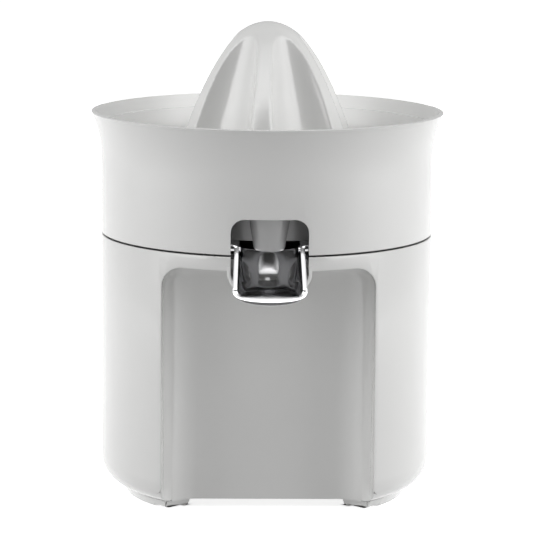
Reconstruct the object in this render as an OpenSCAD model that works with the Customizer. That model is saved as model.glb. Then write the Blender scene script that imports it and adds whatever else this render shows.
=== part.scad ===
// Motor-driven citrus press: a ribbed cone turns in a round bowl with a steel
// pouring spout. +Z is up, the spout points along -Y, the feet stand on z = 0.
// The origin is the middle of the whole box's underside.

/* [Body] */
// Diameter of the body below the flared rim
body_d = 151; // [148:1:190]
// Height of the line between bowl and housing
seam_z = 119.3; // [99:0.1:145]
// Thickness of the moulded walls
wall = 2.4; // [2:0.1:3]
// Height of the feet
foot_h = 3.5; // [2.9:0.1:6]

/* [Bowl] */
// How far the rim flares out beyond the body
flare = 4.5; // [3:0.5:9]
// Height of the flared part
flare_h = 22; // [18:1:28]
// Depth of the bowl, from its rim to the underside of its floor
bowl_depth = 37; // [31:1:46]
// Height of the bowl's skirt, from the seam to the underside of its floor
skirt_h = 18.7; // [18:0.1:23]

/* [Cone] */
// Height of the cone
cone_h = 64.9; // [54:0.1:80]
// Radius at the cone's foot
cone_r = 44.8; // [42:0.1:54]
// Number of ribs on the cone
rib_count = 6; // [5:1:8]
// Turn of the first rib from the front, towards the right
rib_turn = 55; // [0:1:59]

/* [Spout] */
// Half of the width of the window that the spout comes out of
window_w = 17; // [14:0.1:20.5]
// How much narrower the steel trough is than the window at its rear, on each side
trough_gap = 2.5; // [2:0.1:3]
// How far the lip stands out beyond the body
lip_reach = 15.2; // [12:0.1:19]
// Thickness of the steel sheet
sheet = 0.8; // [0.6:0.1:1]
// How far the spout swings up to stop drips
spout_lift = 33; // [10:1:35]

/* [Glass recess] */
// Half of the recess width
recess_w = 47; // [39:1:49]
// Distance of the recess's flat back from the drive axis
recess_back = 41.5; // [40.5:0.5:50]
// Radius of the round between the recess's back and sides
recess_fillet = 16; // [10:1:19]

/* [Drive] */
// Teeth of the output gear
output_teeth = 66; // [55:1:66]
// Teeth of the small gear that drives it
second_teeth = 12; // [12:1:14]
// Module of that gear pair
coarse_module = 1; // [0.83:0.01:1]
// Teeth of the large gear on the middle axle
first_teeth = 64; // [54:1:64]
// Teeth of the motor's gear
motor_teeth = 10; // [10:1:12]
// Module of the motor's gear pair
fine_module = 0.8; // [0.67:0.01:0.8]
// Travel of the shaft when fruit is pressed on the cone
press_travel = 2; // [1:0.1:2.4]
// Diameter of the drive shaft
shaft_d = 8; // [6.6:0.1:9.6]

/* [Hidden] */
$fn = 96;
eps = 0.01;

// Colours.
white_c = [0.9, 0.91, 0.9];
shade_c = [0.8, 0.81, 0.8];
inner_c = [0.55, 0.56, 0.56];
steel_c = [0.7, 0.71, 0.72];
zinc_c = [0.62, 0.63, 0.65];
iron_c = [0.35, 0.35, 0.36];
copper_c = [0.7, 0.38, 0.2];
bronze_c = [0.68, 0.5, 0.26];
rubber_c = [0.16, 0.16, 0.17];
acetal_c = [0.88, 0.86, 0.78];
switch_c = [0.12, 0.12, 0.13];

// Clearances: between resting pieces, at moving pieces and on turning shafts.
seat_gap = 0.3;
seam_gap = 0.4;
free_gap = 1;
run = 0.03;

// The drive axis stands behind the origin, because the spout reaches forward.
axis_y = (lip_reach - flare) / 2;

// Housing.
body_r = body_d / 2;
inner_r = body_r - wall;
rim_r = body_r + flare;
house_top = seam_z - seam_gap;
house_bottom = foot_h;
corner_r = 13;
base_r = body_r - 12.5;
base_t = 2.5;
base_top = house_bottom + base_t;
deck_t = 2.4;
deck_top = seam_z - 1.9;
deck_z = deck_top - deck_t;
recess_wall = 2.2;
recess_top = deck_z - recess_wall - seat_gap;
recess_corner = 9;

// Spout collar and window.
collar_t = 1.5;
collar_r = 9;
collar_z = seam_z - 16.3;
collar_back = -(body_r - 22.5);
window_r = 6;

// Bowl.
bowl_bottom = seam_z + seam_gap;
floor_z = seam_z + skirt_h;
floor_t = 2.4;
window_top = floor_z - 2.6;
rim_z = floor_z + bowl_depth;
flare_z = rim_z - flare_h;
flare_r = (flare_h * flare_h + flare * flare) / (2 * flare);
skirt_r = body_r - 15.3;
skirt_t = 2.2;
skirt_bottom = seam_z + 4.7;
ring_r = skirt_r - 2.7;
key_turns = [30, 90, 150];
nozzle_y = -(body_r - 11);
nozzle_bottom = seam_z + 1.3;
nozzle_r = 4.5;

// Drive shaft, centre tower and driver, from the inside out.
shaft_r = shaft_d / 2;
bush_r = shaft_r + 2.5;
driver_r = shaft_r + 3;
tower_r = shaft_r + 11.5;
bowl_tube_in = tower_r + free_gap + 0.1;
bowl_tube_r = bowl_tube_in + 2.4;
hub_in = bowl_tube_r + 1.6;
hub_r = hub_in + 2;
bowl_tube_top = floor_z + 12;
tower_top = bowl_tube_top - 2;
seal_t = 1.2;

// Strainer and cone.
hub_roof = bowl_tube_top + press_travel + free_gap;
hub_top = hub_roof + 3;
strainer_z = hub_top - 9;
strainer_r = inner_r - 7.1;
strainer_t = 1.6;
socket_r = driver_r + 0.42;
driver_bottom = tower_top + seal_t + press_travel + 0.4;
driver_top = hub_top + 10;
shaft_top = driver_top - 5;
cone_bottom = strainer_z + strainer_t + 2;
cone_tip_z = cone_bottom + cone_h;
cone_wall = 2.6;

// Spout hinge and trough.
post_half = 2.4;
post_out = 3.2;
post_gap = 0.82;
hinge_y = post_half - sqrt(pow(inner_r - post_gap, 2) - pow(window_w + post_out, 2));
hinge_z = seam_z + 2.2;
pin_r = 1.2;
spout_reach = body_r + lip_reach;
spout_rear_w = window_w - trough_gap;
spout_lip_w = window_w - 0.7;
lip_roll = 4.2;
trough_rear = hinge_y + 9.2;
trough_front = -(spout_reach - 2.7);
swing_r = hinge_z - collar_z - collar_t - 0.5;
trough_rear_z = hinge_z - sqrt(swing_r * swing_r - 9.2 * 9.2);
trough_front_z = collar_z + 0.7;
lip_z = trough_front_z - 3.4;

// Gear train. The middle axle stands right and behind, the motor beside it.
pressure = 20;
shift = 0.45;
backlash = 0.08;
out_dist = coarse_module * (output_teeth + second_teeth) / 2;
in_dist = fine_module * (first_teeth + motor_teeth) / 2;
axle_turn = 38;
motor_turn = 160;
axle_x = out_dist * cos(axle_turn);
axle_y = out_dist * sin(axle_turn);
motor_x = axle_x + in_dist * cos(motor_turn);
motor_y = axle_y + in_dist * sin(motor_turn);
axle_r = 2;
motor_shaft_r = 2.5;
out_gear_t = 7;
out_gear_z = deck_z - 8 - out_gear_t;
pinion_top = deck_z - 6;
wheel_t = 5;
wheel_z = out_gear_z - 7 - wheel_t;
plate_t = 2.5;
plate_top = wheel_z - 3;
plate_z = plate_top - plate_t;
gear_pin_r = 1.25;
gear_pin_z = out_gear_z - 3.5;

// Motor, hung under the plate on two tie screws.
stack_h = 24;
stack_w = 40;
bracket_t = 2;
stack_z = plate_z - 33.5;
top_strap = plate_z - 6.5;
low_strap = stack_z - 6;
rotor_r = 13.6;
bore_r = 14;
leg_x = -38;
leg_w = 13;
coil_t = 7.5;
coil_half = 11;
tie_y = 17.3;
tie_r = 1.6;
fan_top = low_strap - 4;
fan_r = 18;

// Press piston and switch.
guide_in = shaft_r + 4.3;
guide_out = guide_in + 2.2;
shaft_bottom = plate_z - 4.5;
piston_top = shaft_bottom - seat_gap;
spring_top = piston_top - 6.7;
spring_z = spring_top - 14;
arm_z = piston_top - 4.7;
switch_x = -(guide_in + 16.7);
plunger_r = 1.4;
plunger_top = arm_z - seat_gap;
switch_top = plunger_top - press_travel - 3.7;

// Screws: deck, gearbox and base places.
screw_r = 1.25;
post_r = 4;
deck_turns = [-27, 50, 130, 207];
deck_screw_r = inner_r - 3.4;
stand_xy = [[-40, -8], [-33, 26], [42, -14], [12, 50]];
base_screw_r = base_r - 5;
front_turn = acos((recess_w + recess_wall + post_r + 0.8) / base_screw_r);
base_turns = [-front_turn, 180 + front_turn, 46, 134];

// Mains inlet, empty clamp and terminal block.
cable_r = 3.2;
gland_r = 5.1;
gland_z = base_top + 14;
clamp_y = base_r - 6;
block_y = 25;

// Positions for the shared frame.
module place() translate([0, axis_y, 0]) children();

// Stands its children at each turn about the drive axis, at radius r.
module at_turns(turns, r) for (t = turns) rotate([0, 0, t]) translate([r, 0, 0]) children();

// General pieces.
module rod(r, z0, z1) translate([0, 0, z0]) cylinder(r = r, h = z1 - z0);

module tube(r, r_in, z0, z1) difference() {
  rod(r, z0, z1);
  rod(r_in, z0 - 1, z1 + 1);
}

module block(x0, x1, y0, y1, z0, z1) translate([x0, y0, z0])
  cube([x1 - x0, y1 - y0, z1 - z0]);

// Half section of a pot with a rounded bottom corner.
module pot_half(r, z0, z1, corner) {
  translate([0, z0 + corner]) square([r, z1 - z0 - corner]);
  translate([0, z0]) square([r - corner, corner + eps]);
  translate([r - corner, z0 + corner]) circle(corner);
}

// A round pot, cut so that nothing lies left of the axis.
module pot(r, z0, z1, corner) rotate_extrude() intersection() {
  pot_half(r, z0, z1, corner);
  translate([0, z0]) square([r + 1, z1 - z0]);
}

// Screw with its head above z = 0 and its shank below, with a cross recess.
module screw(len, r = screw_r, head_r = 2.7, head_h = 1.8) difference() {
  union() {
    rod(head_r, 0, head_h);
    rod(r, -len, 0);
  }
  block(-1.7, 1.7, -0.35, 0.35, head_h - 1, head_h + 1);
  block(-0.35, 0.35, -1.7, 1.7, head_h - 1, head_h + 1);
}

// U outline, open upwards: half width, bottom, top and corner radius.
module u_shape(w, z0, z1, r) intersection() {
  union() {
    translate([-w, z0 + r]) square([2 * w, z1 - z0 - r]);
    translate([-w + r, z0]) square([2 * (w - r), r + eps]);
    for (s = [-1, 1]) translate([s * (w - r), z0 + r]) circle(r);
  }
  translate([-w - 1, z0 - 1]) square([2 * w + 2, z1 - z0 + 1]);
}

// Arch outline, rounded at the top.
module arch_shape(w, z0, z1, r) {
  translate([-w, z0]) square([2 * w, z1 - z0 - r]);
  translate([-w + r, z1 - r - eps]) square([2 * (w - r), r + eps]);
  for (s = [-1, 1]) translate([s * (w - r), z1 - r]) circle(r);
}

// Stands an outline in x and z along y, from y0 to y1.
module along_y(y0, y1) translate([0, y1, 0]) rotate([90, 0, 0])
  linear_extrude(y1 - y0) children();

// Stands an outline in y and z along x, from x0 to x1.
module along_x(x0, x1) translate([x0, 0, 0]) rotate([90, 0, 90])
  linear_extrude(x1 - x0) children();

// The space for the glass, grown by g on every side.
module glass_space(g) intersection() {
  translate([0, 0, -1]) linear_extrude(recess_top + g + 1)
    mirror([0, 1]) u_shape(recess_w + g, recess_back - g, body_r + 25, recess_fillet);
  along_y(-body_r - 25, 0) arch_shape(recess_w + g, -1, recess_top + g, recess_corner);
  along_x(-recess_w - 13, recess_w + 13) glass_side(g);
}

// Side outline of that space: its rear top corner is rounded.
module glass_side(g) {
  front = body_r + 25;
  translate([-front, -1]) square([front - recess_back + g, recess_top + g - 9]);
  translate([-front, recess_top + g - 10]) square([front - 10 - recess_back + g, 10]);
  translate([-recess_back - 10 + g, recess_top + g - 10]) circle(10);
}

// Bowl wall below the rim, moved inwards by g: half section.
module flare_half(g, z1) {
  difference() {
    translate([0, flare_z]) square([rim_r + 2, z1 - flare_z]);
    translate([body_r + flare_r, flare_z]) circle(flare_r + g);
  }
}

// Toothed outline by the involute of a circle.
function inv(a) = tan(a) * 180 / PI - a;
function base_radius(m, n) = m * n * cos(pressure) / 2;
function half_tooth(m, n, x) =
  (PI / 2 + 2 * x * tan(pressure) - backlash / m) / n * 180 / PI;
function flank_turn(m, n, x, r) =
  half_tooth(m, n, x) + inv(pressure) - inv(acos(min(1, base_radius(m, n) / r)));
function polar(r, a) = [r * cos(a), r * sin(a)];

module gear_shape(m, n, x) {
  root = m * (n / 2 - 1.25 + x);
  tip = m * (n / 2 + 0.95 + x);
  start = max(root, base_radius(m, n));
  steps = 5;
  radii = [for (i = [0:steps]) start + (tip - start) * i / steps];
  polygon([for (k = [0:n - 1]) each concat(
    [polar(root, k * 360 / n - flank_turn(m, n, x, start))],
    [for (i = [0:steps]) polar(radii[i], k * 360 / n - flank_turn(m, n, x, radii[i]))],
    [for (i = [steps:-1:0]) polar(radii[i], k * 360 / n + flank_turn(m, n, x, radii[i]))],
    [polar(root, k * 360 / n + flank_turn(m, n, x, start))])]);
}

// Lower housing: shell, recess walls, spout collar, screw posts.
module lower_housing() color(white_c) difference() {
  union() {
    difference() {
      pot(body_r, house_bottom, house_top, corner_r);
      pot(inner_r, house_bottom + wall, house_top + 1, corner_r - wall);
      rod(base_r + 0.3, -1, house_bottom + wall + 1);
    }
    intersection() {
      glass_space(recess_wall);
      pot(body_r, house_bottom, house_top, corner_r);
    }
    intersection() {
      along_y(-body_r - 5, collar_back) u_shape(window_w + collar_t, collar_z, deck_z, collar_r);
      rod(body_r + 0.5, collar_z - 10, seam_z + 10);
    }
    at_turns(deck_turns, deck_screw_r) rod(post_r, deck_z - 17, deck_z);
    at_turns(base_turns, base_screw_r) {
      rod(post_r, base_top, base_top + 20);
      block(2, inner_r + 1 - base_screw_r, -1, 1, base_top + 8, base_top + 20);
    }
  }
  difference() {
    glass_space(0);
    along_y(-body_r - 5, collar_back) u_shape(window_w + collar_t, collar_z, deck_z, collar_r);
  }
  along_y(-body_r - 5, collar_back - collar_t)
    u_shape(window_w, collar_z + collar_t, house_top + 1, collar_r - 1);
  at_turns(deck_turns, deck_screw_r) rod(screw_r, deck_z - 13, deck_z + 1);
  at_turns(base_turns, base_screw_r) rod(screw_r, 0, base_top + 14);
  translate([0, body_r + 4, gland_z]) rotate([90, 0, 0]) rod(gland_r, 0, 12);
}

// Deck over the motor, with centre tower, bowl support ring and hinge posts.
module deck() color(inner_c) difference() {
  union() {
    rod(inner_r - 0.2, deck_z, deck_top);
    difference() {
      tube(ring_r, ring_r - 2.5, deck_top - eps, floor_z - seat_gap);
      block(-window_w - 7, window_w + 7, -body_r, 0, deck_top, floor_z);
    }
    for (a = key_turns) rotate([0, 0, a])
      block(ring_r - 1, ring_r + 4.2, -2, 2, deck_top - eps, floor_z - 6);
    rod(tower_r, deck_top - eps, tower_top);
    translate([axle_x, axle_y, 0]) rod(5, deck_z - 5, deck_z + eps);
    for (s = [-1, 1]) hinge_post(s);
  }
  rod(tower_r - 3, deck_z - 1, tower_top - 12);
  rod(bush_r, deck_z, tower_top + 1);
  intersection() {
    block(-window_w, window_w, -body_r - 5, collar_back - collar_t, deck_z - 1, deck_top + 1);
    rod(body_r, deck_z - 1, deck_top + 1);
  }
  at_turns(deck_turns, deck_screw_r) rod(screw_r, deck_z - 1, deck_top + 1);
  for (p = stand_xy) translate([p[0], p[1], 0]) rod(screw_r, deck_z - 1, deck_top + 1);
  translate([axle_x, axle_y, 0]) rod(axle_r, deck_z - 6, deck_z - 1);
  translate([-body_r, hinge_y, hinge_z]) rotate([0, 90, 0]) rod(pin_r, 0, body_d);
}

// Post beside the spout that carries one hinge pin.
module hinge_post(s) {
  x = s * (window_w + post_out - 1.4);
  block(x - 1.4, x + 1.4, hinge_y - post_half, hinge_y + post_half, deck_top - eps, hinge_z);
  translate([x - 1.4, hinge_y, hinge_z]) rotate([0, 90, 0]) rod(post_half, 0, 2.8);
}

// Base plate: floor of the motor room, with air slots and cord clamp rest.
module base_plate() color(shade_c) difference() {
  union() {
    rod(base_r, house_bottom, base_top);
    block(-12, 12, clamp_y - 3, clamp_y + 3, base_top - 0.5, gland_z - 0.4);
  }
  glass_space(recess_wall + 0.6);
  at_turns(base_turns, base_screw_r) rod(screw_r, 0, base_top + 1);
  for (i = [-3:3]) translate([motor_x + i * 5, motor_y, 0])
    block(-1, 1, -sqrt(400 - 25 * i * i), sqrt(400 - 25 * i * i) * 0.75, 0, base_top + 1);
  translate([0, clamp_y - 7, gland_z]) rotate([-90, 0, 0]) rod(cable_r, 0, 14);
  for (s = [-1, 1]) translate([s * 8, clamp_y, 0]) rod(screw_r, base_top + 2, gland_z + 2);
}

// Two arc-shaped feet.
module foot_arcs() color(shade_c) difference() {
  cylinder(r1 = base_r, r2 = base_r + 3, h = foot_h - 0.1);
  rod(base_r - 10.5, -1, foot_h + 1);
  glass_space(recess_wall + 0.2);
  block(-22, 22, 30, body_r + 5, -1, foot_h + 1);
  at_turns(base_turns, base_screw_r) rod(3.1, -1, foot_h + 1);
}

module base_screws() color(zinc_c) at_turns(base_turns, base_screw_r)
  translate([0, 0, house_bottom]) rotate([180, 0, 0]) screw(16);

module deck_screws() color(zinc_c) at_turns(deck_turns, deck_screw_r)
  translate([0, 0, deck_top]) screw(12);

// Plate under the gears, with four stand posts up to the deck.
module gear_plate() color(zinc_c) difference() {
  union() {
    translate([0, 0, plate_z]) linear_extrude(plate_t) hull()
      for (p = stand_xy) translate(p) circle(7);
    for (p = stand_xy) translate([p[0], p[1], 0]) rod(3.6, plate_top - eps, deck_z);
    translate([axle_x, axle_y, 0]) rod(5, plate_top - eps, wheel_z - 0.5);
    rod(bush_r + 3.5, plate_top - eps, plate_top + 1.5);
  }
  rod(bush_r, plate_z - 1, plate_top + 4);
  translate([motor_x, motor_y, 0]) rod(7, plate_z - 1, plate_top + 1);
  for (s = [-1, 1]) translate([motor_x, motor_y + s * tie_y, 0])
    rod(tie_r, plate_z - 1, plate_top + 1);
  for (p = stand_xy) translate([p[0], p[1], 0]) rod(screw_r, deck_z - 15, deck_z + 1);
  translate([axle_x, axle_y, 0]) rod(axle_r, plate_z - 1, wheel_z);
}

module gearbox_screws() color(zinc_c) for (p = stand_xy)
  translate([p[0], p[1], deck_top]) screw(14);

module gear_axle() color(steel_c) translate([axle_x, axle_y, 0])
  rod(axle_r, plate_z, deck_z - 1);

module tower_bush() color(bronze_c) tube(bush_r, shaft_r + run, tower_top - 11, tower_top);

module plate_bush() color(bronze_c)
  tube(bush_r, shaft_r + run, plate_z - 0.5, plate_top + 2);

module shaft_seal() color(rubber_c)
  tube(bush_r + 3.5, shaft_r + 0.06, tower_top, tower_top + seal_t);

// Stator: stacked laminations as one C-frame with a window for the coil.
module stator() color(iron_c) translate([0, 0, stack_z]) linear_extrude(stack_h) difference() {
  translate([motor_x + leg_x, motor_y - stack_w / 2]) square([60, stack_w]);
  translate([motor_x + leg_x + leg_w, motor_y - 12]) square([8.4, 24]);
  translate([motor_x, motor_y]) circle(bore_r);
  for (s = [-1, 1]) translate([motor_x, motor_y + s * tie_y]) circle(tie_r);
}

// Box tube around the stator's leg: outer growth, inner growth, half length.
module leg_tube(g, h, y0, y1) {
  x0 = motor_x + leg_x;
  difference() {
    block(x0 - g, x0 + leg_w + g, y0, y1, stack_z - g, stack_z + stack_h + g);
    block(x0 - h, x0 + leg_w + h, y0 - 1, y1 + 1, stack_z - h, stack_z + stack_h + h);
  }
}

module coil_bobbin() color(acetal_c) {
  leg_tube(1, 0, motor_y - coil_half, motor_y + coil_half);
  leg_tube(coil_t, 0, motor_y - coil_half - 1, motor_y - coil_half);
  leg_tube(coil_t, 0, motor_y + coil_half, motor_y + coil_half + 1);
}

module motor_coil() color(copper_c)
  leg_tube(coil_t - 0.4, 1, motor_y - coil_half, motor_y + coil_half);

// Motor bracket: strap with bush hole and two tie holes.
module bracket(z0, z1, boss0, boss1) translate([motor_x, motor_y, 0]) difference() {
  union() {
    block(-6, 6, -tie_y, tie_y, z0, z1);
    for (s = [-1, 1]) translate([0, s * tie_y, 0]) rod(6, z0, z1);
    rod(7, boss0, boss1);
  }
  rod(5, boss0 - 1, boss1 + 1);
  for (s = [-1, 1]) translate([0, s * tie_y, 0]) rod(tie_r, z0 - 1, z1 + 1);
}

module bracket_top() color(zinc_c)
  bracket(top_strap, top_strap + bracket_t, top_strap - 0.5, top_strap + 5.5);

module bracket_bottom() color(zinc_c)
  bracket(low_strap, low_strap + bracket_t, low_strap - 3, low_strap + 3);

module motor_bushes() color(bronze_c) translate([motor_x, motor_y, 0]) {
  tube(5, motor_shaft_r + run, top_strap - 0.5, top_strap + 5.5);
  tube(5, motor_shaft_r + run, low_strap - 3, low_strap + 3);
}

// Six sleeves on the two tie screws.
module motor_spacers() color(zinc_c) for (s = [-1, 1])
  translate([motor_x, motor_y + s * tie_y, 0]) {
    tube(2.6, tie_r, low_strap + bracket_t, stack_z);
    tube(2.6, tie_r, stack_z + stack_h, top_strap);
    tube(3.4, tie_r, top_strap + bracket_t, plate_z);
  }

// Two tie screws with their nuts.
module motor_screws() color(zinc_c) for (s = [-1, 1])
  translate([motor_x, motor_y + s * tie_y, 0]) {
    translate([0, 0, low_strap]) rotate([180, 0, 0]) screw(plate_top + 2.4 - low_strap, tie_r, 3, 2);
    difference() {
      translate([0, 0, plate_top]) cylinder(r = 3.2, h = 2.2, $fn = 6);
      rod(tie_r, plate_top - 1, plate_top + 4);
    }
  }

// Cup below the gear plate that guides the press piston and holds the switch.
module thrust_guide() color(acetal_c) difference() {
  union() {
    rod(guide_out, spring_z - 4, plate_z);
    block(switch_x - 12, -guide_in, -5.4, 5.4, switch_top - 17, switch_top - 14);
    block(switch_x - 12, -guide_in, 3.5, 5.4, switch_top - 17, switch_top);
    block(-guide_out - 3, -guide_in, -5.4, 5.4, switch_top - 17, switch_top);
  }
  rod(guide_in, spring_z, plate_z + 1);
  block(-guide_out - 9, 0, -2.6, 2.6, arm_z - press_travel - 2, plate_z + 1);
  at_switch_screws() rod(1, 0, 10);
}

// Places of the two screws through the switch.
module at_switch_screws() for (x = [switch_x - 6, switch_x + 6])
  translate([x, -3.3, switch_top - 11]) rotate([-90, 0, 0]) children();

module switch_body() color(switch_c) difference() {
  block(switch_x - 8.5, switch_x + 8.5, -3.3, 3.3, switch_top - 13.8, switch_top);
  translate([switch_x, 0, 0]) rod(plunger_r + 0.1, switch_top - 9, switch_top + 1);
  at_switch_screws() translate([0, 0, -1]) rod(1, 0, 10);
}

module switch_screws() color(zinc_c) at_switch_screws() rotate([180, 0, 0]) screw(8.5, 1, 2, 1.2);

module terminal_block() color(acetal_c) difference() {
  block(-52, -30, block_y - 7, block_y + 7, base_top, base_top + 11);
  for (y = [block_y - 3.5, block_y + 3.5]) {
    translate([-53, y, base_top + 5]) rotate([0, 90, 0]) rod(1.6, 0, 30);
    for (x = [-47, -35]) translate([x, y, 0]) rod(1.3, base_top + 6, base_top + 14);
  }
}

// One insulated wire along a list of points.
module wire(points, r = 1) for (i = [0:len(points) - 2]) hull() {
  translate(points[i]) sphere(r, $fn = 8);
  translate(points[i + 1]) sphere(r, $fn = 8);
}

// Four leads: clamp to block twice, block to switch, block to coil.
module lead_wires() color(switch_c) {
  z = base_top + 5;
  y1 = block_y + 3.5;
  y2 = block_y - 3.5;
  coil_x = motor_x + leg_x - coil_t;
  wire([[-1.6, clamp_y - 3.4, gland_z], [-1.6, clamp_y - 11, gland_z - 2], [-22, y1, z], [-29.9, y1, z]]);
  wire([[1.6, clamp_y - 3.4, gland_z], [1.6, clamp_y - 15, gland_z - 2], [-20, y2, z], [-29.9, y2, z]]);
  wire([[-52.1, y2, z], [-55.5, y2, z], [-55, 0, stack_z - 14], [switch_x - 17, 0, switch_top - 7],
        [switch_x - 9.5, 0, switch_top - 7]]);
  wire([[-52.1, y1, z], [-55.5, y1, z], [-57, y1 + 4, stack_z - 14],
        [coil_x - 5, motor_y, stack_z + 12], [coil_x - 0.9, motor_y, stack_z + 12]]);
}

// Soft bush where a mains lead enters, empty here.
module cord_gland() color(rubber_c) translate([0, 0, gland_z]) rotate([-90, 0, 0]) difference() {
  union() {
    rod(gland_r, inner_r - 2, body_r + 1);
    rod(7.5, body_r - 0.2, body_r + 3);
    rod(6.6, inner_r - 3.5, inner_r - 1);
  }
  rod(cable_r, inner_r - 10, body_r + 10);
  difference() {
    rod(9, inner_r - 0.8, body_r + 0.1);
    rod(gland_r, inner_r - 2, body_r + 1);
  }
}

module cord_clamp() color(acetal_c) difference() {
  block(-12, 12, clamp_y - 2.5, clamp_y + 2.5, gland_z, gland_z + 5);
  translate([0, clamp_y - 7, gland_z]) rotate([-90, 0, 0]) rod(cable_r, 0, 14);
  for (s = [-1, 1]) translate([s * 8, clamp_y, 0]) rod(screw_r, gland_z - 1, gland_z + 6);
}

module clamp_screws() color(zinc_c) for (s = [-1, 1])
  translate([s * 8, clamp_y, gland_z + 5]) screw(14, screw_r, 2.5, 1.5);

// Two pins that the spout hangs on.
module spout_pins() color(steel_c) for (s = [-1, 1])
  translate([s * (window_w - 0.4) - 4, hinge_y, hinge_z]) rotate([0, 90, 0]) rod(pin_r, 0, 8);

// Return spring under the piston: a round wire swept along a coil.
module return_spring() color(steel_c) {
  turns = 5;
  sides = 8;
  rings = turns * 14;
  coil = guide_in - 2.1;
  wire_r = 0.7;
  rise = spring_top - spring_z - 2 * wire_r;
  polyhedron(
    points = [for (i = [0:rings]) for (k = [0:sides - 1])
      let (t = i * 360 * turns / rings, a = k * 360 / sides, r = coil + wire_r * cos(a))
      [r * cos(t), r * sin(t), spring_z + wire_r + rise * i / rings + wire_r * sin(a)]],
    faces = concat(
      [[for (k = [sides - 1:-1:0]) k]],
      [for (i = [0:rings - 1]) for (k = [0:sides - 1])
        let (a = i * sides + k, b = i * sides + (k + 1) % sides) [a, b, b + sides, a + sides]],
      [[for (k = [0:sides - 1]) rings * sides + k]]));
}

module press_piston() color(acetal_c) union() {
  rod(guide_in - 0.3, spring_top, piston_top);
  block(switch_x - 2, -guide_in + 2, -2, 2, arm_z, arm_z + 2.5);
}

module switch_plunger() color(acetal_c) translate([switch_x, 0, 0])
  rod(plunger_r, switch_top - 6, plunger_top);

// Drive shaft with a chamfered top.
module shaft_bar(z0) {
  rod(shaft_r, z0, shaft_top);
  translate([0, 0, shaft_top]) cylinder(r1 = shaft_r, r2 = shaft_r - 0.8, h = 0.8);
}

module drive_shaft() color(steel_c) difference() {
  shaft_bar(shaft_bottom);
  translate([-20, 0, gear_pin_z]) rotate([0, 90, 0]) rod(gear_pin_r, 0, 40);
}

// Hexagon that turns the strainer and the cone.
module shaft_driver() color(acetal_c) difference() {
  translate([0, 0, driver_bottom])
    cylinder(r = driver_r, h = driver_top - driver_bottom, $fn = 6);
  shaft_bar(driver_bottom - 1);
}

module output_gear() color(acetal_c) difference() {
  union() {
    translate([0, 0, out_gear_z]) rotate([0, 0, axle_turn + 180 / output_teeth])
      linear_extrude(out_gear_t) gear_shape(coarse_module, output_teeth, -shift);
    rod(shaft_r + 5, out_gear_z - 7, out_gear_z + out_gear_t + 3);
  }
  rod(shaft_r, out_gear_z - 10, deck_z);
  tube(28, 12, out_gear_z - 1, out_gear_z + 2);
  tube(28, 12, out_gear_z + out_gear_t - 2, out_gear_z + out_gear_t + 1);
  translate([-20, 0, gear_pin_z]) rotate([0, 90, 0]) rod(gear_pin_r, 0, 40);
}

module gear_pin() color(steel_c) translate([-shaft_r - 4.8, 0, gear_pin_z])
  rotate([0, 90, 0]) rod(gear_pin_r, 0, shaft_d + 9.6);

// Large wheel and small gear in one, turning on the fixed axle.
module compound_gear() color(acetal_c) translate([axle_x, axle_y, 0]) difference() {
  union() {
    translate([0, 0, wheel_z]) rotate([0, 0, motor_turn + 180 / first_teeth])
      linear_extrude(wheel_t) gear_shape(fine_module, first_teeth, -shift);
    translate([0, 0, wheel_z + wheel_t]) rotate([0, 0, axle_turn + 180])
      linear_extrude(pinion_top - wheel_z - wheel_t)
        gear_shape(coarse_module, second_teeth, shift);
  }
  rod(axle_r + run, wheel_z - 1, deck_z);
  tube(21, 9, wheel_z - 1, wheel_z + 1.5);
}

module motor_rotor() color(iron_c) translate([motor_x, motor_y, 0]) difference() {
  union() {
    rod(rotor_r, stack_z + 1, stack_z + stack_h - 1);
    rod(rotor_r - 2, stack_z - 1.5, stack_z + stack_h + 0.5);
  }
  rod(motor_shaft_r, stack_z - 10, plate_z);
}

module rotor_shaft() color(steel_c) translate([motor_x, motor_y, 0])
  rod(motor_shaft_r, fan_top - 10.5, wheel_z + 8);

module motor_pinion() color(bronze_c) translate([motor_x, motor_y, 0]) difference() {
  rotate([0, 0, motor_turn + 180]) translate([0, 0, wheel_z - 2])
    linear_extrude(9) gear_shape(fine_module, motor_teeth, shift);
  rod(motor_shaft_r, plate_z, deck_z);
}

module cooling_fan() color(rubber_c) translate([motor_x, motor_y, 0]) difference() {
  union() {
    rod(5, fan_top - 10, fan_top);
    rod(fan_r, fan_top - 1.5, fan_top);
    for (a = [0:360 / 7:359]) rotate([0, 0, a])
      block(4, fan_r, -0.7, 0.7, fan_top - 9.5, fan_top - 1);
  }
  rod(motor_shaft_r, fan_top - 20, fan_top + 10);
}

// Thin upright slice of the trough, for its tapered shell.
module trough_slice(y, w, z0, r) translate([0, y, 0]) rotate([90, 0, 0])
  linear_extrude(0.02) u_shape(w, z0, hinge_z + 5, r);

module trough(g, y0, y1) hull() {
  trough_slice(y0, spout_rear_w - g, trough_rear_z + g, 7 - g);
  trough_slice(y1, spout_lip_w - g, trough_front_z + g, 7 - g);
}

// Side outline that is kept of the trough: its upper edge falls to the lip.
module trough_side() polygon([
  [trough_rear + 1, trough_rear_z - 5], [trough_rear + 1, hinge_z - 3.5],
  [trough_rear - 2, hinge_z + 0.5], [hinge_y + 2.5, hinge_z + 0.5],
  [hinge_y + 2.5, hinge_z + 3.9], [hinge_y - 2.5, hinge_z + 3.9],
  [hinge_y - 3.3, hinge_z + 0.5], [-spout_reach + 4.4, trough_front_z + 2.9],
  [-spout_reach + 3.9, trough_front_z + 0.9], [-spout_reach + 3.9, trough_front_z - 4]]);

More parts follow.
